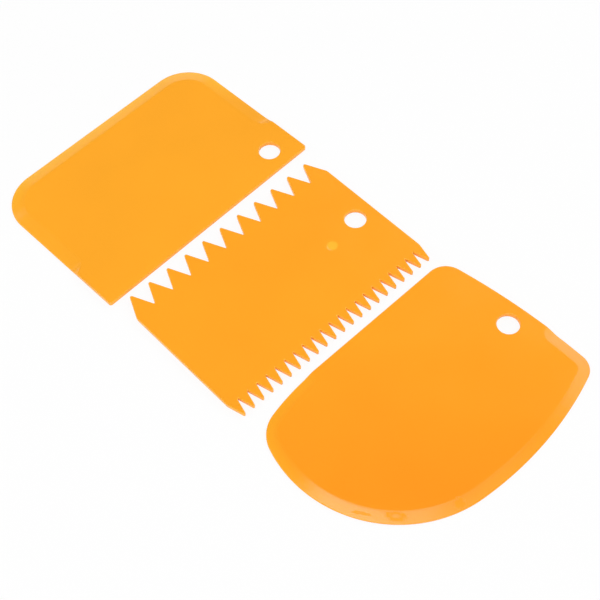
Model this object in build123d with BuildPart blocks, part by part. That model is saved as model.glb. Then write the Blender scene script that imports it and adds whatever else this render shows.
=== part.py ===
from build123d import *
import math
import os

# Three icing smoothers of one set, lying flat side by side as they are laid out for use:
# a square-cornered smooth scraper at the back, a comb with two rows of teeth in the middle
# and a curved bowl scraper at the front. Each is one solid moulding in orange polypropylene.
# The mould's lower half is flat, so a plate is flat and square-edged underneath. The cavity
# above it rounds the upper edges, and thins the blades with a bevel.
# Millimetres and degrees. +Z is up from the table, +Y runs along the row, and the origin is
# under the middle of the set.

# What the three plates share
plate_thickness = 2.0
blade_thickness = 0.7
rim_radius = 0.45
hole_radius = 4.8

# Smooth scraper: a rectangle with two well rounded corners, bevelled round three sides
smooth_length = 116.8
smooth_depth = 79.3
smooth_corner_radius = 18.5
smooth_heel_radius = 1.2
smooth_bevel_width = 6.2
smooth_bevel_end_length = 3.0
smooth_grip_depth = 24.4
smooth_hole_from_side = 13.3
smooth_hole_from_heel = 10.3

# Comb: coarse teeth along the back edge, twice as many fine ones along the front edge.
# Depths are between the points where the straight flanks would meet. Its rim has a small
# chamfer in place of the scrapers' rounding, which keeps the teeth crisp.
comb_body_depth = 56.4
comb_rim_chamfer = 0.35
coarse_count = 11
coarse_pitch = 10.0
coarse_tooth_depth = 11.15
coarse_tip_radius = 0.75
fine_count = 22
fine_tooth_depth = 9.45
fine_tip_radius = 0.55
valley_radius = 0.3
comb_side_radius = 4.0
comb_hole_from_side = 9.9
comb_hole_from_fine_roots = 28.8
gate_radius = 2.6
gate_depth = 0.3
gate_from_side = 27.0
gate_from_fine_roots = 25.6

# Curved scraper: a straight back edge, then a run of arcs that flow into each other,
# anticlockwise from the back edge's left end. The belly and the bottom take the radii that
# bring the outline back to where it began.
curved_back_length = 68.7
curved_shoulder_radius = 109.5
curved_shoulder_angle = 12.8
curved_toe_radius = 15.0
curved_toe_angle = 58.7
curved_belly_angle = 100.4
curved_bottom_angle = 25.4
curved_heel_radius = 8.0
curved_heel_angle = 71.0
curved_side_radius = 304.5
curved_side_angle = 11.9
curved_neck_radius = 9.3
curved_bevel_width = 4.8
curved_bevel_side_angle = 2.6
curved_hole_from_side = 10.4
curved_hole_from_back = 40.0

# How the three lie on the table
row_gap_behind = 3.0
row_gap_in_front = 4.8
smooth_angle = 1.9
smooth_to_right = -1.5
curved_to_right = 1.9

# A bevel's cut runs on past the face by this share of its width
bevel_overrun_share = 0.04

os.makedirs("parts", exist_ok=True)


def arc_step(heading, turn):
    """How far an arc of radius one goes along X and Y, from its heading and its turn."""
    start, end = math.radians(heading), math.radians(heading + turn)
    return math.sin(end) - math.sin(start), math.cos(start) - math.cos(end)


def bevel_slope(width):
    return (plate_thickness - blade_thickness) / width


def bevel_cut(start, heading, width):
    """The section of a bevel's cut, square to the edge: up the slope from the blade, and
    level outside it. X is inwards from the edge and Y is up."""
    section = Plane(origin=start, x_dir=Vector(-heading.Y, heading.X), z_dir=heading)
    reach = width * (1 + bevel_overrun_share)
    top = blade_thickness + reach * bevel_slope(width)
    corners = [(-width, blade_thickness), (0, blade_thickness), (reach, top), (-width, top)]
    with BuildSketch(section) as cut:
        with BuildLine():
            Polyline(*corners, close=True)
        make_face()
    return cut.sketch


def cone_end(width):
    """A long bevel end: it runs out over a shallow cone about the end of its edge."""
    reach = width * (1 + bevel_overrun_share)
    Cone(
        bottom_radius=0,
        top_radius=reach,
        height=reach * bevel_slope(width),
        align=(Align.CENTER, Align.CENTER, Align.MIN),
        mode=Mode.SUBTRACT,
    )


def facet_end(plane, side, width, length):
    """A short bevel end: from a foot line square to the side, one flat facet climbs to the
    face. What lies over the facet is cut as a pyramid that stands on its point, just outside
    the plate. side is the end's place on the side, at the point where the facet starts."""
    rise = plate_thickness - blade_thickness
    over = bevel_overrun_share
    outwards = math.copysign(width, side.X)
    outside = side.X + outwards * over
    inside = side.X - outwards * (1 + over)
    past = side.Y - length * (1 + 2 * over)
    with BuildSketch(plane.offset(plate_thickness + rise * over)) as mouth:
        with BuildLine():
            Polyline((outside, side.Y), (inside, side.Y), (outside, past), close=True)
        make_face()
    point = plane.from_local_coords((outside, side.Y, blade_thickness - rise * over))
    loft([mouth.sketch.face(), Vertex(point)], ruled=True, mode=Mode.SUBTRACT)


# Smooth scraper outline, about the middle of its rectangle

half_length = smooth_length / 2
half_depth = smooth_depth / 2
with BuildSketch() as smooth_outline:
    Rectangle(smooth_length, smooth_depth)
    blade_corners = smooth_outline.vertices().group_by(Axis.Y)[-1]
    fillet(blade_corners, smooth_corner_radius)
    heel_corners = smooth_outline.vertices().group_by(Axis.Y)[0]
    heel_corners = heel_corners.filter_by(lambda v: abs(v.X) > half_length - smooth_heel_radius)
    fillet(heel_corners, smooth_heel_radius)

# Its blade edge, anticlockwise from the right-hand end: up the side, over the back, down
# the left side
blade_from = smooth_grip_depth - half_depth
corner_y = half_depth - smooth_corner_radius
corner_x = half_length - smooth_corner_radius
with BuildLine() as smooth_edge:
    right = Line((half_length, blade_from), (half_length, corner_y))
    right_corner = JernArc(right @ 1, right % 1, smooth_corner_radius, 90)
    back = Line(right_corner @ 1, (-corner_x, half_depth))
    left_corner = JernArc(back @ 1, back % 1, smooth_corner_radius, 90)
    Line(left_corner @ 1, (-half_length, blade_from))

# Comb outline, from the left-hand root of the coarse teeth. Both rows share one length.

comb_length = coarse_count * coarse_pitch
fine_pitch = comb_length / fine_count
comb_side = comb_length / 2
fine_root = -comb_body_depth / 2
coarse_root = comb_body_depth / 2


def tooth_row(count, pitch, root, tip, tip_radius):
    """A row of teeth from left to right: its corners, and the rounding of each."""
    points = [(-comb_side, root)]
    roundings = [comb_side_radius]
    for tooth in range(count):
        left = -comb_side + tooth * pitch
        points += [(left + pitch / 2, tip), (left + pitch, root)]
        roundings += [tip_radius, valley_radius]
    roundings[-1] = comb_side_radius
    return points, roundings


coarse_tip = coarse_root + coarse_tooth_depth
fine_tip = fine_root - fine_tooth_depth
fine_points, fine_roundings = tooth_row(fine_count, fine_pitch, fine_root, fine_tip, fine_tip_radius)
coarse_points, coarse_roundings = tooth_row(
    coarse_count, coarse_pitch, coarse_root, coarse_tip, coarse_tip_radius
)
with BuildSketch() as comb_outline:
    with BuildLine():
        FilletPolyline(
            *fine_points,
            *reversed(coarse_points),
            radius=fine_roundings + coarse_roundings[::-1],
            close=True,
        )
    make_face()

# Curved scraper outline, from the left end of its straight back edge, where it heads left

shoulder_at = 180
toe_at = shoulder_at + curved_shoulder_angle
belly_at = toe_at + curved_toe_angle
bottom_at = belly_at + curved_belly_angle
heel_at = bottom_at + curved_bottom_angle
side_at = heel_at + curved_heel_angle
neck_at = side_at + curved_side_angle
neck_turn = shoulder_at + 360 - neck_at

# What the belly and the bottom have to make up is the sum of all the other steps
known_arcs = [
    (curved_shoulder_radius, arc_step(shoulder_at, curved_shoulder_angle)),
    (curved_toe_radius, arc_step(toe_at, curved_toe_angle)),
    (curved_heel_radius, arc_step(heel_at, curved_heel_angle)),
    (curved_side_radius, arc_step(side_at, curved_side_angle)),
    (curved_neck_radius, arc_step(neck_at, neck_turn)),
]
left_x = sum(radius * step[0] for radius, step in known_arcs) - curved_back_length
left_y = sum(radius * step[1] for radius, step in known_arcs)
belly_x, belly_y = arc_step(belly_at, curved_belly_angle)
bottom_x, bottom_y = arc_step(bottom_at, curved_bottom_angle)
span = belly_x * bottom_y - belly_y * bottom_x
curved_belly_radius = (bottom_x * left_y - bottom_y * left_x) / span
curved_bottom_radius = (belly_y * left_x - belly_x * left_y) / span

# The bevel begins one bevel's width along the shoulder, so that its end runs out where the
# straight edge begins, and it ends part of the way up the side
plain_shoulder_turn = math.degrees(curved_bevel_width / curved_shoulder_radius)
with BuildLine() as curved_edge:
    run = JernArc((0, 0), (-1, 0), curved_shoulder_radius, plain_shoulder_turn, mode=Mode.PRIVATE)
    curved_bevel_start = run @ 1
    bevelled_turns = [
        (curved_shoulder_radius, curved_shoulder_angle - plain_shoulder_turn),
        (curved_toe_radius, curved_toe_angle),
        (curved_belly_radius, curved_belly_angle),
        (curved_bottom_radius, curved_bottom_angle),
        (curved_heel_radius, curved_heel_angle),
        (curved_side_radius, curved_bevel_side_angle),
    ]
    for radius, turn in bevelled_turns:
        run = JernArc(run @ 1, run % 1, radius, turn)

with BuildSketch() as curved_outline:
    with BuildLine() as curved_line:
        lead = JernArc((0, 0), (-1, 0), curved_shoulder_radius, plain_shoulder_turn)
        add(curved_edge.line)
        rest_turn = curved_side_angle - curved_bevel_side_angle
        side = JernArc(run @ 1, run % 1, curved_side_radius, rest_turn)
        neck = JernArc(side @ 1, side % 1, curved_neck_radius, neck_turn)
        Line(neck @ 1, lead @ 0)
    make_face()

# Places of the three in the row, worked out from their outlines' boxes

smooth_box = smooth_outline.sketch.rotate(Axis.Z, smooth_angle).bounding_box()
comb_box = comb_outline.sketch.bounding_box()
curved_box = curved_outline.sketch.bounding_box()
row_depth = smooth_box.size.Y + row_gap_behind + comb_box.size.Y + row_gap_in_front + curved_box.size.Y
curved_left = curved_to_right - curved_box.size.X / 2
curved_right = curved_to_right + curved_box.size.X / 2
smooth_left = smooth_to_right + smooth_box.min.X
smooth_right = smooth_to_right + smooth_box.max.X
row_left = min(smooth_left, -comb_side, curved_left)
row_right = max(smooth_right, comb_side, curved_right)
row_middle = (row_left + row_right) / 2

smooth_y = row_depth / 2 - smooth_box.max.Y
comb_y = row_depth / 2 - smooth_box.size.Y - row_gap_behind - comb_box.max.Y
curved_y = -row_depth / 2 - curved_box.min.Y
curved_x = curved_left - curved_box.min.X - row_middle
turn = math.radians(smooth_angle)
smooth_plane = Plane(
    origin=(smooth_to_right - row_middle, smooth_y, 0),
    x_dir=(math.cos(turn), math.sin(turn), 0),
    z_dir=(0, 0, 1),
)
comb_plane = Plane(origin=(-row_middle, comb_y, 0))
curved_plane = Plane(origin=(curved_x, curved_y, 0))

# Smooth scraper: the heel along its front edge stays full thickness, to be held

smooth_hole = (half_length - smooth_hole_from_side, smooth_hole_from_heel - half_depth)
with BuildPart() as smooth_scraper:
    with BuildSketch(smooth_plane):
        add(smooth_outline.sketch)
        with Locations(smooth_hole):
            Circle(hole_radius, mode=Mode.SUBTRACT)
    extrude(amount=plate_thickness)
    fillet(smooth_scraper.edges().group_by(Axis.Z)[-1], rim_radius)
    smooth_path = smooth_plane.from_local_coords(smooth_edge.wire())
    sweep(bevel_cut(smooth_path @ 0, smooth_path % 0, smooth_bevel_width), smooth_path, mode=Mode.SUBTRACT)
    for blade_end in (Vector(half_length, blade_from), Vector(-half_length, blade_from)):
        facet_end(smooth_plane, blade_end, smooth_bevel_width, smooth_bevel_end_length)
smooth_scraper.part.label = "smooth_scraper"
export_step(smooth_scraper.part, "parts/smooth_scraper.step")

# Toothed comb: the small round dish in its face is where the plastic ran into the mould

comb_hole = (comb_side - comb_hole_from_side, fine_root + comb_hole_from_fine_roots)
gate = (comb_side - gate_from_side, fine_root + gate_from_fine_roots)
with BuildPart() as toothed_comb:
    with BuildSketch(comb_plane):
        add(comb_outline.sketch)
        with Locations(comb_hole):
            Circle(hole_radius, mode=Mode.SUBTRACT)
    extrude(amount=plate_thickness)
    chamfer(toothed_comb.edges().group_by(Axis.Z)[-1], comb_rim_chamfer)
    with Locations(comb_plane.offset(plate_thickness)):
        with Locations(gate):
            Hole(gate_radius, depth=gate_depth)
toothed_comb.part.label = "toothed_comb"
export_step(toothed_comb.part, "parts/toothed_comb.step")

# Curved scraper

curved_hole = (curved_box.max.X - curved_hole_from_side, -curved_hole_from_back)
with BuildPart() as curved_scraper:
    with BuildSketch(curved_plane):
        add(curved_outline.sketch)
        with Locations(curved_hole):
            Circle(hole_radius, mode=Mode.SUBTRACT)
    extrude(amount=plate_thickness)
    fillet(curved_scraper.edges().group_by(Axis.Z)[-1], rim_radius)
    curved_path = curved_plane.from_local_coords(curved_edge.wire())
    sweep(bevel_cut(curved_path @ 0, curved_path % 0, curved_bevel_width), curved_path, mode=Mode.SUBTRACT)
    with Locations(curved_plane.offset(blade_thickness)):
        with Locations(curved_bevel_start, run @ 1):
            cone_end(curved_bevel_width)
curved_scraper.part.label = "curved_scraper"
export_step(curved_scraper.part, "parts/curved_scraper.step")

# Where each plate and its hole lie
plates = [
    (smooth_scraper, smooth_plane, smooth_hole),
    (toothed_comb, comb_plane, comb_hole),
    (curved_scraper, curved_plane, curved_hole),
]
for plate, plane, hole in plates:
    box = plate.part.bounding_box()
    centre = plane.from_local_coords((*hole, 0))
    print(plate.part.label, "from", box.min, "to", box.max, "hole at", centre)
print("belly radius", curved_belly_radius, "bottom radius", curved_bottom_radius)
print("comb origin", comb_plane.origin, "smooth origin", smooth_plane.origin, "curved", curved_plane.origin)
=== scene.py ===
import math

import bpy
import numpy as np
from mathutils import Matrix, Vector
from mathutils.geometry import delaunay_2d_cdt


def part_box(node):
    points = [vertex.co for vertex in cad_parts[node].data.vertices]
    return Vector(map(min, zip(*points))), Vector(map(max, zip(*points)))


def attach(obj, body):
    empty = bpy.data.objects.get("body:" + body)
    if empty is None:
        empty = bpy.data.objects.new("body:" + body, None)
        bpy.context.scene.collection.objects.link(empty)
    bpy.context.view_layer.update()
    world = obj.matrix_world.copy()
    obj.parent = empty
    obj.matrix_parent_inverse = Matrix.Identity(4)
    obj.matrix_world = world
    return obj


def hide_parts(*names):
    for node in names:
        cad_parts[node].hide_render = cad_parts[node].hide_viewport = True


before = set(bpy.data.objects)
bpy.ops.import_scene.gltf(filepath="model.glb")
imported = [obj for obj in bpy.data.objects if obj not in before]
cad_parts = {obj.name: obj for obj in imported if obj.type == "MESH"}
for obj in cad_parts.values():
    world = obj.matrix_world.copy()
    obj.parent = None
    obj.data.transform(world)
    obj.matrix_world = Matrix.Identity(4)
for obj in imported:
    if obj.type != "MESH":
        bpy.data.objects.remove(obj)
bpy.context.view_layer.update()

# Smooth scraper. One injection moulding in orange polypropylene: a rectangle with two well
# rounded corners, thinned to a blade round three sides. The fourth side, the heel, keeps the
# plate's full thickness to be held by.

mm = 0.001
plate_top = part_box("smooth_scraper")[1][2]
blade = 0.7 * mm
blade_rim = 0.2 * mm
face_rim = 0.45 * mm
foot = 0.08 * mm
flat_margin = 0.25 * mm
# The walls and rims take at least this share of the pale colour: painted light, for light through thin
# plastic.
edge_light_through = 0.3
row_gap = 0.025 * mm
hole_radius = 4.8 * mm
station_gap = 0.5 * mm
arc_step = math.radians(7)
rim_rows = 6
side_heading = 90
quarter_turn, full_turn = 90, 360

smooth_length = 116.8 * mm
smooth_depth = 79.3 * mm
smooth_corner = 18.5 * mm
smooth_heel_corner = 1.2 * mm
smooth_bevel = 6.2 * mm
smooth_bevel_end = 3.0 * mm
smooth_end_ease = 1.4 * mm
smooth_fold = 0.45 * mm
smooth_grip = 24.4 * mm
smooth_angle = 1.9
smooth_hole_x = 45.1 * mm
smooth_hole_y = -29.35 * mm
bevel_shares = np.array([0.12, 0.4, 0.7, 0.92])
fold_shares = np.array([-1, -0.5, 0, 0.5, 1])


def edge_path(start, heading, lengths, turns):
    """Stations round an edge of straights and arcs, with their inward normals and distances.

    A run is cut into equal steps, as many as its length or its turn needs. The heading is an
    angle from +X, in degrees, and swings evenly over the run. A step's chord is its arc times
    the sine of half its turn over that half, and points halfway through the turn. The stations
    are the running sum of the chords. The inside of the edge is to the left of the way it runs.
    """
    lengths, turns = np.asarray(lengths, float), np.radians(turns)
    counts = np.ceil(np.maximum(lengths / station_gap, np.abs(turns) / arc_step)).astype(int)
    steps = np.repeat(lengths / counts, counts)
    swings = np.repeat(turns / counts, counts)
    headings = math.radians(heading) + np.cumsum(swings)
    chords = steps * np.sinc(swings / 2 / np.pi)
    halfway = headings - swings / 2
    stations = start + np.cumsum([chords * np.cos(halfway), chords * np.sin(halfway)], axis=1).T
    inward = np.stack([-np.sin(headings), np.cos(headings)], axis=1)
    return stations, inward, np.cumsum(steps)


def turned(points, angle):
    """Points or directions turned about the origin. The new x is x times the cosine less y
    times the sine, and the new y is x times the sine plus y times the cosine.
    """
    c, s = math.cos(math.radians(angle)), math.sin(math.radians(angle))
    return points @ np.array([[c, s], [-s, c]])


def shift_onto(node, stations):
    """How far an edge moves to lie over the node's own box: from the middle of the box round
    its stations to the middle of the node's.
    """
    low, high = np.array(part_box(node))[:, :2]
    return (low + high) / 2 - (stations.min(axis=0) + stations.max(axis=0)) / 2


def climbed(past, inside, bevel, facet):
    """How far up a bevel a point is. past is how far its station lies beyond the blade's end,
    and inside is how far the point lies in from the edge.

    With a facet, that is as far as the point lies in, and the bevel's width more for each
    length of the facet that its station lies past the end. With none the bevel ends in a cone,
    so it's the distance from the blade's end: the hypotenuse of the two.
    """
    return inside + past * bevel / facet if facet else np.hypot(past, inside)


def level_line(past, level, bevel, facet):
    """How far inside the edge a bevel has climbed to a level: climbed, the other way round."""
    if facet:
        return level - past * bevel / facet
    return np.sqrt(np.maximum(level**2 - past**2, 0))


def land(climb, bevel, softness):
    """Height of the upper face: the lower of the flat face and the bevel, folded softly.

    The bevel rises from the blade by its slope times the climb. Where its height is within the
    fold of the flat face's, the two are mixed by shares that run evenly from one to the other,
    less the fold times both shares.
    """
    slope = (plate_top - blade) / bevel
    height = blade + slope * climb
    fold = slope * softness
    share = np.clip((plate_top - height) / fold / 2 + 0.5, 0, 1)
    return height * share + plate_top * (1 - share) - fold * share * (1 - share)


def moulded_edge(past, bevel, facet, softness, narrow_rim, full_rim, margin):
    """Section of a plate's edge at each station: how far inside each row lies, its height and
    how thin the plate counts as there: the root of its share of the way down from the flat
    face to the blade.

    The rows start on the underside, go round the lower rim, up the wall, round the upper rim
    and over the bevel to the flat face. A rim's rows are a quarter circle's, hung from the
    face's height there. The bevel's rows follow lines of equal height round the blade's ends,
    and an edge with no blade has one row in their place. The wall and its rims count as thin
    by the edge's share at least, so that they take the painted light of light passing through
    thin plastic too.
    """
    run_out = facet or bevel
    quarter = np.linspace(0, np.pi / 2, rim_rows)[:, None]
    levels = np.append(bevel_shares * (bevel - softness), bevel + fold_shares * softness)
    levels = levels if np.min(past) < run_out else np.zeros(1)
    upper = narrow_rim + (full_rim - narrow_rim) * np.clip(past / run_out, 0, 1)
    # Nought times past gives a row one value for each station.
    low_in = foot * (1 - np.sin(quarter)) + 0 * past
    low_up = foot * (1 - np.cos(quarter)) + 0 * past
    high_in = upper * (1 - np.cos(quarter))
    high_up = land(climbed(past, high_in, bevel, facet), bevel, softness)
    high_up -= upper * (1 - np.sin(quarter))
    spare = row_gap * np.arange(1, len(levels) + 1)[:, None]
    bevel_in = np.maximum(level_line(past, levels[:, None], bevel, facet), upper + spare)
    flat_in = bevel_in[-1:] + margin
    under_in = low_in[:1] + margin
    inside = np.concatenate([under_in, low_in, high_in, bevel_in, flat_in])
    heights = land(climbed(past, inside, bevel, facet), bevel, softness)
    bevel_up = heights[-1 - len(levels):-1]
    up = np.concatenate([0 * under_in, low_up, high_up, bevel_up, 0 * flat_in + plate_top])
    thin = np.sqrt(np.clip((plate_top - heights) / (plate_top - blade), 0, 1))
    edge_rows = len(under_in) + len(low_in) + len(high_in)
    thin[:edge_rows] = np.maximum(thin[:edge_rows], edge_light_through)
    return inside, up, thin


def carried(stations, inward, inside, up):
    """A section's rows carried along an edge, as a grid of points: rows by stations. A point is
    its station moved inwards by the row's distance, at the row's height.
    """
    flat = stations + inward * inside[:, :, None]
    return np.concatenate([flat, up[:, :, None]], axis=2)


def round_edge(centre, radius):
    """The edge of a round hole: clockwise, so that the plate is on its left."""
    start = np.array(centre) + [0, radius]
    return edge_path(start, 0, [2 * math.pi * radius], [-full_turn])[:2]


def hanging_hole(centre, full_rim, margin):
    """The hole's edge, with both rims rounded as the plate's own are. It has no blade: it counts
    as a metre past the blade's end, all the way round.
    """
    stations, inward = round_edge(centre, hole_radius)
    no_blade = np.ones(len(stations))
    inside, up, thin = moulded_edge(
        no_blade, smooth_bevel, None, smooth_fold, full_rim, full_rim, margin
    )
    return carried(stations, inward, inside, up), thin


# The triangulation's mode 1 keeps the triangles inside the outer ring, and points nearer to
# each other than a millionth of a millimetre count as one.
inside_the_ring, same_point = 1, 1e-6 * mm


def capped(rings):
    """Triangles of a flat face between its outer ring and the rings of the openings in it.

    The rings' own links stay edges of the triangles. A triangle whose corners all lie on one
    opening's ring fills that opening, and is left out.
    """
    points = np.concatenate(rings)
    counts = [len(ring) for ring in rings]
    ends = np.cumsum(counts)
    here = np.arange(len(points))
    there = here + 1
    there[ends - 1] = ends - counts
    links = np.stack([here, there], axis=1).tolist()
    flat = [Vector(point) for point in points[:, :2].tolist()]
    triangles = np.array(delaunay_2d_cdt(flat, links, [], inside_the_ring, same_point)[2])
    owners = np.repeat(np.arange(len(rings)), counts)[triangles]
    fills = (owners[:, 0] > 0) & (owners.min(axis=1) == owners.max(axis=1))
    return triangles[~fills]


def plate(name, through, dishes=()):
    """A closed plate from the grids of its edges, with flat faces above and below.

    Four-sided faces join a grid's neighbouring rows and stations. through holds the outer edge
    and the holes, whose first rows bound the lower face and whose last rows the upper one. A
    dish's last row meets the upper face too, and its first row bounds a floor of its own.
    """
    points, thinness, faces, tops, floors, first = [], [], [], [], [], 0
    for grid, thin in (*through, *dishes):
        rows, count = grid.shape[:2]
        index = first + np.arange(rows * count).reshape(rows, count)
        after = np.roll(index, -1, axis=1)
        quads = np.stack([index[:-1], after[:-1], after[1:], index[1:]], axis=-1)
        faces.append(quads.reshape(-1, 4))
        points.append(grid.reshape(-1, 3))
        thinness.append(thin.reshape(-1))
        tops.append(index[-1])
        floors.append(index[0])
        first += rows * count
    points = np.concatenate(points)
    under = floors[: len(through)]
    flats = [
        np.concatenate(tops)[capped([points[ring] for ring in tops])],
        np.concatenate(under)[capped([points[ring] for ring in under])][:, ::-1],
    ]
    for ring in floors[len(through):]:
        flats.append(ring[capped([points[ring]])])
    mesh = bpy.data.meshes.new(name)
    polygons = np.concatenate(faces).tolist() + np.concatenate(flats).tolist()
    mesh.from_pydata(points.tolist(), [], polygons)
    share = mesh.attributes.new("thinness", "FLOAT", "POINT")
    share.data.foreach_set("value", np.concatenate(thinness))
    mesh.shade_smooth()
    piece = bpy.data.objects.new(name, mesh)
    bpy.context.scene.collection.objects.link(piece)
    return piece


# The plastic's finish. A noise's scale counts its waves in a metre, and its values lie mostly
# between the low and the high.
refraction = 1.49
noise_low, noise_high = 0.3, 0.7
cloud_scale, cloud_detail = 22, 2
cloud_darkest, cloud_palest = 0.975, 1.02
gloss_scale, gloss_detail = 45, 3
glossiest, least_glossy = 0.12, 0.18
scratch_lines = ((38, 1.1 * mm), (-27, 1.3 * mm), (84, 1.6 * mm))
scratch_stretch, scratch_detail = 60, 1
scratch_foot, scratch_crest = 0.76, 0.84
scratch_roughness, scratch_depth = 0.1, 0.004 * mm
smear_edge_scale, smear_edge_detail, smear_raggedness = 900, 2, 0.25
smear_middle_starts, smear_middle_ends, smear_rim_starts = 0.15, 0.6, 0.65
wide_ripple_scale, wide_ripple_detail = 90, 2
fine_ripple_scale, fine_ripple_detail = 700, 1
ripple_depth = 0.02 * mm


def moulded_plastic(name, body, thin_lit, painted_shade_body=None, painted_shade_pale=None, smears=()):
    """Glossy orange plastic: paler where it thins, faintly clouded, with a slightly uneven
    gloss, fine scratches and, where fingers or dough touched it, matt smears.

    body and the second colour are the colours of the plate and of where it thins, mixed by the
    mesh's own thinness: the paleness is painted light, for light that passes through thin
    plastic and lights the bevels. A shade colour comes with an angle and two distances from the
    middle of the set: the plastic turns to it between the two, measured that way, as painted
    shade where the light falls off. A scratch is a thin crest of a noise that is stretched along
    it. A smear is a ragged oval, given by its centre, its angle, half its length and width, and
    how matt it is near its rim and in its middle.
    """
    material = bpy.data.materials.new(name)
    material.use_nodes = True
    nodes, links = material.node_tree.nodes, material.node_tree.links
    shader = nodes["Principled BSDF"]
    place = nodes.new("ShaderNodeTexCoord")

    def noise(scale, detail, where=place.outputs["Object"]):
        """A cloudy noise, with so many waves to a unit of the coordinates that it is given."""
        field = nodes.new("ShaderNodeTexNoise")
        field.inputs["Scale"].default_value = scale
        field.inputs["Detail"].default_value = detail
        links.new(where, field.inputs["Vector"])
        return field.outputs["Fac"]

    def ranged(value, low, high, start, end):
        """From start to end as the value goes from low to high, and held at them past those."""
        between = nodes.new("ShaderNodeMapRange")
        between.inputs["From Min"].default_value = low
        between.inputs["From Max"].default_value = high
        between.inputs["To Min"].default_value = start
        between.inputs["To Max"].default_value = end
        links.new(value, between.inputs["Value"])
        return between.outputs["Result"]

    def joined(operation, first, second):
        """One value made of two by an operation such as ADD."""
        both = nodes.new("ShaderNodeMath")
        both.operation = operation
        links.new(first, both.inputs[0])
        links.new(second, both.inputs[1])
        return both.outputs["Value"]

    def placed(centre, angle, stretch):
        """The piece's coordinates from a centre, turned back by the angle, over the stretch."""
        pattern = nodes.new("ShaderNodeMapping")
        pattern.vector_type = "TEXTURE"
        pattern.inputs["Location"].default_value = (*centre, 0)
        pattern.inputs["Rotation"].default_value = (0, 0, math.radians(angle))
        pattern.inputs["Scale"].default_value = (*stretch, 1)
        links.new(place.outputs["Object"], pattern.inputs["Vector"])
        return pattern.outputs["Vector"]

    # Painted light: the plastic turns to the pale colour where the mesh counts as thin, for light that
    # passes through thin plastic and lights the bevels.
    thin = nodes.new("ShaderNodeAttribute")
    thin.attribute_name = "thinness"
    tint = nodes.new("ShaderNodeMix")
    tint.data_type = "RGBA"
    # The body's colour and the pale one each turn to their shade colour, where they have one:
    # painted shade where the light falls off.
    for socket, near, far in (("A", body, painted_shade_body), ("B", thin_lit, painted_shade_pale)):
        tint.inputs[socket].default_value = (*near, 1)
        if far:
            colour, angle, starts, ends = far
            along = nodes.new("ShaderNodeSeparateXYZ")
            links.new(placed((0, 0), angle, (1, 1)), along.inputs["Vector"])
            turning = nodes.new("ShaderNodeMix")
            turning.data_type = "RGBA"
            turning.inputs["A"].default_value = (*near, 1)
            turning.inputs["B"].default_value = (*colour, 1)
            links.new(ranged(along.outputs["X"], starts, ends, 0, 1), turning.inputs["Factor"])
            links.new(turning.outputs["Result"], tint.inputs[socket])
    links.new(thin.outputs["Fac"], tint.inputs["Factor"])
    mottle = nodes.new("ShaderNodeHueSaturation")
    links.new(tint.outputs["Result"], mottle.inputs["Color"])
    clouds = noise(cloud_scale, cloud_detail)
    shade = ranged(clouds, noise_low, noise_high, cloud_darkest, cloud_palest)
    links.new(shade, mottle.inputs["Value"])
    links.new(mottle.outputs["Color"], shader.inputs["Base Color"])

    scratches = None
    for angle, width in scratch_lines:
        streaks = noise(1, scratch_detail, placed((0, 0), angle, (scratch_stretch * width, width)))
        line = ranged(streaks, scratch_foot, scratch_crest, 0, 1)
        scratches = joined("MAXIMUM", scratches, line) if scratches else line
    gloss = ranged(noise(gloss_scale, gloss_detail), noise_low, noise_high, glossiest, least_glossy)
    rough = joined("ADD", gloss, ranged(scratches, 0, 1, 0, scratch_roughness))
    for centre, angle, size, matt, matt_middle in smears:
        reach = nodes.new("ShaderNodeVectorMath")
        reach.operation = "LENGTH"
        links.new(placed(centre, angle, size), reach.inputs[0])
        edge_noise = noise(smear_edge_scale, smear_edge_detail)
        uneven = ranged(edge_noise, noise_low, noise_high, -smear_raggedness, smear_raggedness)
        ragged = joined("ADD", reach.outputs["Value"], uneven)
        middle = ranged(ragged, smear_middle_starts, smear_middle_ends, matt_middle, matt)
        rim = ranged(ragged, smear_rim_starts, 1, 1, 0)
        rough = joined("ADD", rough, joined("MULTIPLY", middle, rim))
    links.new(rough, shader.inputs["Roughness"])
    shader.inputs["IOR"].default_value = refraction

    ripple = nodes.new("ShaderNodeBump")
    ripple.inputs["Distance"].default_value = ripple_depth
    wide_ripple = noise(wide_ripple_scale, wide_ripple_detail)
    fine_ripple = noise(fine_ripple_scale, fine_ripple_detail)
    links.new(joined("ADD", wide_ripple, fine_ripple), ripple.inputs["Height"])
    cut = nodes.new("ShaderNodeBump")
    cut.invert = True
    cut.inputs["Distance"].default_value = scratch_depth
    links.new(scratches, cut.inputs["Height"])
    links.new(ripple.outputs["Normal"], cut.inputs["Normal"])
    links.new(cut.outputs["Normal"], shader.inputs["Normal"])
    return material


def dressed(piece, node, material):
    """Gives the piece its plastic and lets it stand for its node."""
    piece.data.materials.append(material)
    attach(piece, "root")
    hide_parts(node)


smooth_side = smooth_depth - smooth_corner - smooth_heel_corner
smooth_back = smooth_length - 2 * smooth_corner
smooth_heel = smooth_length - 2 * smooth_heel_corner
corner_arc, heel_arc = smooth_corner * math.pi / 2, smooth_heel_corner * math.pi / 2
smooth_edge, smooth_in, smooth_run = edge_path(
    [smooth_length / 2, smooth_heel_corner - smooth_depth / 2],
    side_heading,
    [smooth_side, corner_arc, smooth_back, corner_arc, smooth_side, heel_arc, smooth_heel, heel_arc],
    [0, quarter_turn] * 4,
)
smooth_edge, smooth_in = turned(smooth_edge, smooth_angle), turned(smooth_in, smooth_angle)
smooth_shift = shift_onto("smooth_scraper", smooth_edge)
blade_start = smooth_grip - smooth_heel_corner
blade_end = 2 * smooth_side + 2 * corner_arc + smooth_back - blade_start
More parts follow.
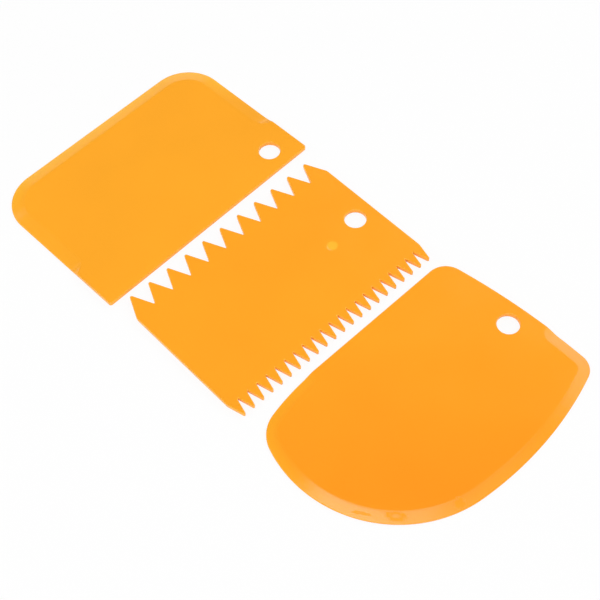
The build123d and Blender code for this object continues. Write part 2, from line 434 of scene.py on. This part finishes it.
# The bevel's climb at the blade's ends starts gently: the distance past an end counts as half
# the sum of itself and the hypotenuse that it makes with the ease.
smooth_past = np.maximum(blade_start - smooth_run, smooth_run - blade_end)
smooth_past = (smooth_past + np.hypot(smooth_past, smooth_end_ease)) / 2
inside, up, thin = moulded_edge(
    smooth_past, smooth_bevel, smooth_bevel_end, smooth_fold, blade_rim, face_rim, flat_margin
)
smooth_outer = carried(smooth_edge + smooth_shift, smooth_in, inside, up), thin
smooth_hole = turned(np.array([smooth_hole_x, smooth_hole_y]), smooth_angle) + smooth_shift
smooth_plate = plate(
    "smooth_scraper_plate",
    [smooth_outer, hanging_hole(smooth_hole, face_rim, flat_margin)],
)
# The smooth scraper's orange, and its pale colour where it thins: painted light on the blade and the
# bevel.
smooth_orange, smooth_thin_lit = (1.0, 0.396, 0.0165), (1.0, 0.474, 0.0245)
# Down the sides the pale colour turns darker: painted shade, so that the painted light on the bevel is
# strongest along the back edge.
side_painted_shade, side_shade_angle, side_shade_starts, side_shade_ends = (1.0, 0.413, 0.019), -99, -111 * mm, -97 * mm
smooth_smears = [((-3.7 * mm, 73.4 * mm), -3, (9 * mm, 0.5 * mm), 0.12, 0.06)]
smooth_plastic = moulded_plastic(
    "smooth_scraper_plastic",
    smooth_orange,
    smooth_thin_lit,
    painted_shade_pale=(side_painted_shade, side_shade_angle, side_shade_starts, side_shade_ends),
    smears=smooth_smears,
)
dressed(smooth_plate, "smooth_scraper", smooth_plastic)

# Toothed comb. The same plastic and thickness with no blade: eleven coarse teeth are cut in
# one long edge and twenty-two fine ones in the other. The shallow round dish beside the hole
# is the mark of the gate that the plastic came in by.

comb_body = 56.4 * mm
coarse_count, fine_count = 11, 22
coarse_pitch, fine_pitch = 10.0 * mm, 5.0 * mm
coarse_depth, fine_depth = 11.15 * mm, 9.45 * mm
coarse_tip, fine_tip = 0.75 * mm, 0.55 * mm
valley = 0.3 * mm
comb_corner = 4.0 * mm
comb_rim, comb_margin = 0.35 * mm, 0.1 * mm
comb_hole_x, comb_hole_y = 45.1 * mm, 0.6 * mm
gate_x, gate_y = 28.0 * mm, -2.6 * mm
gate_radius, gate_depth, gate_slope = 2.3 * mm, 0.12 * mm, 0.6 * mm
gate_rows = 7


def tooth_row(count, pitch, depth, tip):
    """Lengths and turns of a row of teeth from one corner of the comb to the next.

    Half a tooth's angle is that of half the pitch over the depth. A rounding takes its radius
    times the tangent of half its turn off each flank that it joins. Also gives what the
    corner's own rounding takes off the side.
    """
    half = math.atan2(pitch / 2, depth)
    turn = math.pi - 2 * half
    flank = math.hypot(pitch / 2, depth) - tip * math.tan(turn / 2)
    inner_flank = flank - valley * math.tan(turn / 2)
    off_side = comb_corner * math.tan(half / 2)
    lengths = [inner_flank, tip * turn, inner_flank, valley * turn] * count
    lengths[0] = lengths[-2] = flank - off_side
    turns = [0, turn, 0, -turn] * count
    corner = comb_corner * half
    return [corner, *lengths[:-1], corner], np.degrees([half, *turns[:-1], half]), off_side


coarse_lengths, coarse_turns, coarse_off = tooth_row(
    coarse_count, coarse_pitch, coarse_depth, coarse_tip
)
fine_lengths, fine_turns, fine_off = tooth_row(fine_count, fine_pitch, fine_depth, fine_tip)
comb_side = comb_body - coarse_off - fine_off
comb_edge, comb_in = edge_path(
    [coarse_count * coarse_pitch / 2, fine_off - comb_body / 2],
    side_heading,
    [comb_side, *coarse_lengths, comb_side, *fine_lengths],
    [0, *coarse_turns, 0, *fine_turns],
)[:2]
comb_shift = shift_onto("toothed_comb", comb_edge)
no_blade = np.ones(len(comb_edge))
inside, up, thin = moulded_edge(
    no_blade, smooth_bevel, None, smooth_fold, comb_rim, comb_rim, comb_margin
)
comb_outer = carried(comb_edge + comb_shift, comb_in, inside, up), thin


def gate_dish(centre):
    """The gate's dish: a flat floor and a wall that rises as half a cosine wave. A row counts
    as thin by its share of the way down to the floor.
    """
    stations, inward = round_edge(centre, gate_radius)
    share = np.linspace(0, 1, gate_rows)[:, None] + 0 * stations[:, 0]
    inside = gate_slope * (2 * share - 1)
    up = plate_top - gate_depth * (1 + np.cos(np.pi * share)) / 2
    inside = np.concatenate([inside[:1] - flat_margin, inside, inside[-1:] + flat_margin])
    up = np.concatenate([up[:1], up, up[-1:]])
    return carried(stations, inward, inside, up), (plate_top - up) / gate_depth


comb_hole = comb_shift + [comb_hole_x, comb_hole_y]
gate = comb_shift + [gate_x, gate_y]
comb_plate = plate(
    "toothed_comb_plate",
    [comb_outer, hanging_hole(comb_hole, comb_rim, comb_margin)],
    [gate_dish(gate)],
)
# The comb's orange is darker than the smooth scraper's, though it is the same plastic: painted shade. Its
# pale colour is painted light through thin plastic on the walls and rims, and fills the gate's dish,
# paler towards its floor.
comb_orange_painted_shade, comb_lit_edge_and_gate_pale = (1.0, 0.374, 0.0135), (1.0, 0.5, 0.03)
comb_plastic = moulded_plastic("toothed_comb_plastic", comb_orange_painted_shade, comb_lit_edge_and_gate_pale)
dressed(comb_plate, "toothed_comb", comb_plastic)

# Curved scraper. The third moulding of the set: a straight back edge, then arcs that flow
# into each other round the belly, to clean out a bowl. The curve is bevelled to a blade, which
# runs out where the straight edge begins and part of the way up the right-hand side.

curved_back = 68.7 * mm
curved_back_heading = 180
curved_turns = np.array([12.8, 58.7, 100.4, 25.4, 71.0, 11.9])
curved_radii = np.array([109.5, 15.0, 0, 0, 8.0, 304.5, 9.3]) * mm
belly_and_bottom = slice(2, 4)
right_side = 5
curved_bevel = 4.8 * mm
curved_fold = 0.5 * mm
curved_blade_side_turn = 2.6
curved_hole_in = 10.4 * mm
curved_hole_down = 40.0 * mm

# The last arc makes up a full turn. For a radius of one, an arc's step along x is how much the
# sine of its heading gains, and its step along y is how much the cosine loses. The radii left
# at 0, the belly's and the bottom's, are worked out so that all the steps add up to the straight
# back's length and the outline closes.
curved_turns = np.append(curved_turns, full_turn - curved_turns.sum())
arc_ends = np.radians(curved_back_heading + np.cumsum(curved_turns))
arc_starts = arc_ends - np.radians(curved_turns)
arc_steps = np.array([np.sin(arc_ends) - np.sin(arc_starts), np.cos(arc_starts) - np.cos(arc_ends)])
still_open = arc_steps @ curved_radii - [curved_back, 0]
curved_radii[belly_and_bottom] = np.linalg.solve(arc_steps[:, belly_and_bottom], -still_open)
curved_arcs = curved_radii * np.radians(curved_turns)
curved_edge, curved_in, curved_run = edge_path(
    [0, 0], curved_back_heading, [*curved_arcs, curved_back], [*curved_turns, 0]
)
curved_edge += shift_onto("curved_scraper", curved_edge)
blade_up_side = curved_radii[right_side] * math.radians(curved_blade_side_turn)
blade_end = curved_arcs[:right_side].sum() + blade_up_side
curved_past = np.maximum(np.maximum(curved_bevel - curved_run, curved_run - blade_end), 0)
inside, up, thin = moulded_edge(
    curved_past, curved_bevel, None, curved_fold, blade_rim, face_rim, flat_margin
)
curved_outer = carried(curved_edge, curved_in, inside, up), thin
curved_hole = curved_edge.max(axis=0) - [curved_hole_in, curved_hole_down]
curved_plate = plate(
    "curved_scraper_plate",
    [curved_outer, hanging_hole(curved_hole, face_rim, flat_margin)],
)
# The curved scraper's orange is darker again, though it is the same plastic: painted shade. Its pale
# colour where it thins is painted light on the blade and the bevel.
curved_orange_painted_shade, curved_thin_lit = (1.0, 0.368, 0.0125), (1.0, 0.405, 0.0145)
# The body turns darker towards the belly: painted shade where the light falls off.
belly_painted_shade, belly_shade_angle, belly_shade_starts, belly_shade_ends = (1.0, 0.314, 0.0085), -131, 30 * mm, 100 * mm
# The pale colour turns darker towards the front: painted shade.
front_painted_shade, front_shade_angle, front_shade_starts, front_shade_ends = (1.0, 0.36, 0.014), -90, 50 * mm, 115 * mm
curved_smears = [
    ((-49.95 * mm, -95.7 * mm), -56, (4.2 * mm, 0.65 * mm), 0.75, 0.3),
    ((-41.5 * mm, -105.6 * mm), -50, (4.6 * mm, 1.9 * mm), 0.9, 0.1),
    ((-20.8 * mm, -118.7 * mm), -30, (2.6 * mm, 2.4 * mm), 0.9, 0.8),
]
curved_plastic = moulded_plastic(
    "curved_scraper_plastic",
    curved_orange_painted_shade,
    curved_thin_lit,
    painted_shade_body=(belly_painted_shade, belly_shade_angle, belly_shade_starts, belly_shade_ends),
    painted_shade_pale=(front_painted_shade, front_shade_angle, front_shade_starts, front_shade_ends),
    smears=curved_smears,
)
dressed(curved_plate, "curved_scraper", curved_plastic)

# Table. A plain white sweep, matt and far wider than the view, that the three plates lie on.
# Most of what the camera or a reflection sees of it is a white glow of its own, and the rest is
# lit and takes the plates' shadows.

table_size = 30.0
table_drop = 0.02 * mm
table_grey = 0.9
table_glow_share = 0.88

bpy.ops.mesh.primitive_plane_add(size=table_size, location=(0, 0, -table_drop))
table = bpy.context.object
table.name = "table"
table_paint = bpy.data.materials.new("table_white")
table_paint.use_nodes = True
nodes, links = table_paint.node_tree.nodes, table_paint.node_tree.links
matt = nodes["Principled BSDF"]
matt.inputs["Base Color"].default_value = (table_grey, table_grey, table_grey, 1)
matt.inputs["Roughness"].default_value = 1.0
matt.inputs["Specular IOR Level"].default_value = 0.0
glow = nodes.new("ShaderNodeEmission")
path = nodes.new("ShaderNodeLightPath")
seen = path.outputs["Is Camera Ray"]
for ray in ("Is Glossy Ray", "Is Transmission Ray"):
    either = nodes.new("ShaderNodeMath")
    either.operation = "MAXIMUM"
    links.new(seen, either.inputs[0])
    links.new(path.outputs[ray], either.inputs[1])
    seen = either.outputs["Value"]
amount = nodes.new("ShaderNodeMath")
amount.operation = "MULTIPLY"
amount.inputs[1].default_value = table_glow_share
links.new(seen, amount.inputs[0])
mixed = nodes.new("ShaderNodeMixShader")
links.new(amount.outputs["Value"], mixed.inputs["Fac"])
links.new(matt.outputs["BSDF"], mixed.inputs[1])
links.new(glow.outputs["Emission"], mixed.inputs[2])
links.new(mixed.outputs["Shader"], nodes["Material Output"].inputs["Surface"])
table.data.materials.append(table_paint)

# Studio. Walls all round, dim at the foot and bright above it, and a dim ceiling. The key light
# is four soft panels high on the camera's side. A soft lamp stands to the right, one to the left
# and two in front, of which the low one lights the plates' edges.

wall_foot, wall_top, wall_fade = 17.0, 27.2, 1.0
dim_strength, wall_strength, ceiling_strength = 0.4, 1.18, 0.2

world = bpy.data.worlds.new("studio")
bpy.context.scene.world = world
world.use_nodes = True
nodes, links = world.node_tree.nodes, world.node_tree.links
# The bright wall starts and ends at these elevations, and a change takes the fade either way.
towards = nodes.new("ShaderNodeTexCoord")
parts = nodes.new("ShaderNodeSeparateXYZ")
links.new(towards.outputs["Generated"], parts.inputs["Vector"])
below = None
for change_at, above in ((wall_foot, wall_strength), (wall_top, ceiling_strength)):
    band = nodes.new("ShaderNodeMapRange")
    band.inputs["From Min"].default_value = math.sin(math.radians(change_at - wall_fade))
    band.inputs["From Max"].default_value = math.sin(math.radians(change_at + wall_fade))
    band.inputs["To Min"].default_value = dim_strength
    band.inputs["To Max"].default_value = above
    if below:
        links.new(below, band.inputs["To Min"])
    links.new(parts.outputs["Z"], band.inputs["Value"])
    below = band.outputs["Result"]
links.new(below, nodes["Background"].inputs["Strength"])
nodes["Background"].inputs["Color"].default_value = (1, 1, 1, 1)


def direction(azimuth, elevation):
    """The unit vector at an angle round from +X, anticlockwise, and one up from the table. Its
    level part is the cosine of the second angle and its height the sine.
    """
    azimuth, elevation = math.radians(azimuth), math.radians(elevation)
    level = math.cos(elevation)
    return Vector((math.cos(azimuth) * level, math.sin(azimuth) * level, math.sin(elevation)))


def softbox(name, azimuth, elevation, distance, width, height, strength):
    """A soft lamp that faces the middle of the table, of a strength per area. A flat lamp of
    strength one sends out pi watts from a square metre.
    """
    lamp = bpy.data.lights.new(name, "AREA")
    lamp.shape = "RECTANGLE"
    lamp.size, lamp.size_y = width, height
    lamp.energy = strength * math.pi * width * height
    holder = bpy.data.objects.new(name, lamp)
    bpy.context.scene.collection.objects.link(holder)
    away = direction(azimuth, elevation)
    holder.location = away * distance
    holder.rotation_euler = away.to_track_quat("Z", "Y").to_euler()


softbox("key_middle", azimuth=-168, elevation=67.8, distance=1.0, width=0.525, height=0.41, strength=1.85)
softbox("key_lamp", azimuth=-139, elevation=75.4, distance=1.0, width=0.6, height=0.65, strength=1.2)
softbox("key_rim", azimuth=-121, elevation=74, distance=1.05, width=0.74, height=0.86, strength=0.35)
softbox("key_tail", azimuth=-75.5, elevation=69, distance=1.04, width=0.8, height=0.31, strength=0.58)
softbox("right_lamp", azimuth=1, elevation=35, distance=1.2, width=1.37, height=0.86, strength=1.7)
softbox("left_lamp", azimuth=130, elevation=31, distance=1.2, width=1.0, height=0.8, strength=1.36)
softbox("front_lamp", azimuth=-130, elevation=38, distance=1.4, width=1.2, height=0.8, strength=0.8)
softbox("low_front_lamp", azimuth=-110, elevation=8, distance=1.4, width=1.8, height=0.35, strength=2.7)

# Camera. It looks down on the row from the curved scraper's end and from its left, and is
# rolled by about three degrees. Its lens is as long, in pixels, as the photo's perspective
# makes it.

camera_target = Vector((-0.796, -10.858, 0)) * mm
camera_distance = 492.74 * mm
camera_azimuth = -130.909
camera_elevation = 57.379
camera_roll = -3.081
camera_film = 36.0
lens_pixels, picture_pixels = 1181.7, 600

camera = bpy.data.objects.new("camera", bpy.data.cameras.new("camera"))
bpy.context.scene.collection.objects.link(camera)
camera.data.sensor_width = camera_film
camera.data.lens = lens_pixels / picture_pixels * camera_film
away = direction(camera_azimuth, camera_elevation)
camera.matrix_world = (
    Matrix.Translation(camera_target + away * camera_distance)
    @ away.to_track_quat("Z", "Y").to_matrix().to_4x4()
    @ Matrix.Rotation(math.radians(camera_roll), 4, "Z")
)
bpy.context.scene.camera = camera
bpy.context.scene.view_settings.view_transform = "Standard"
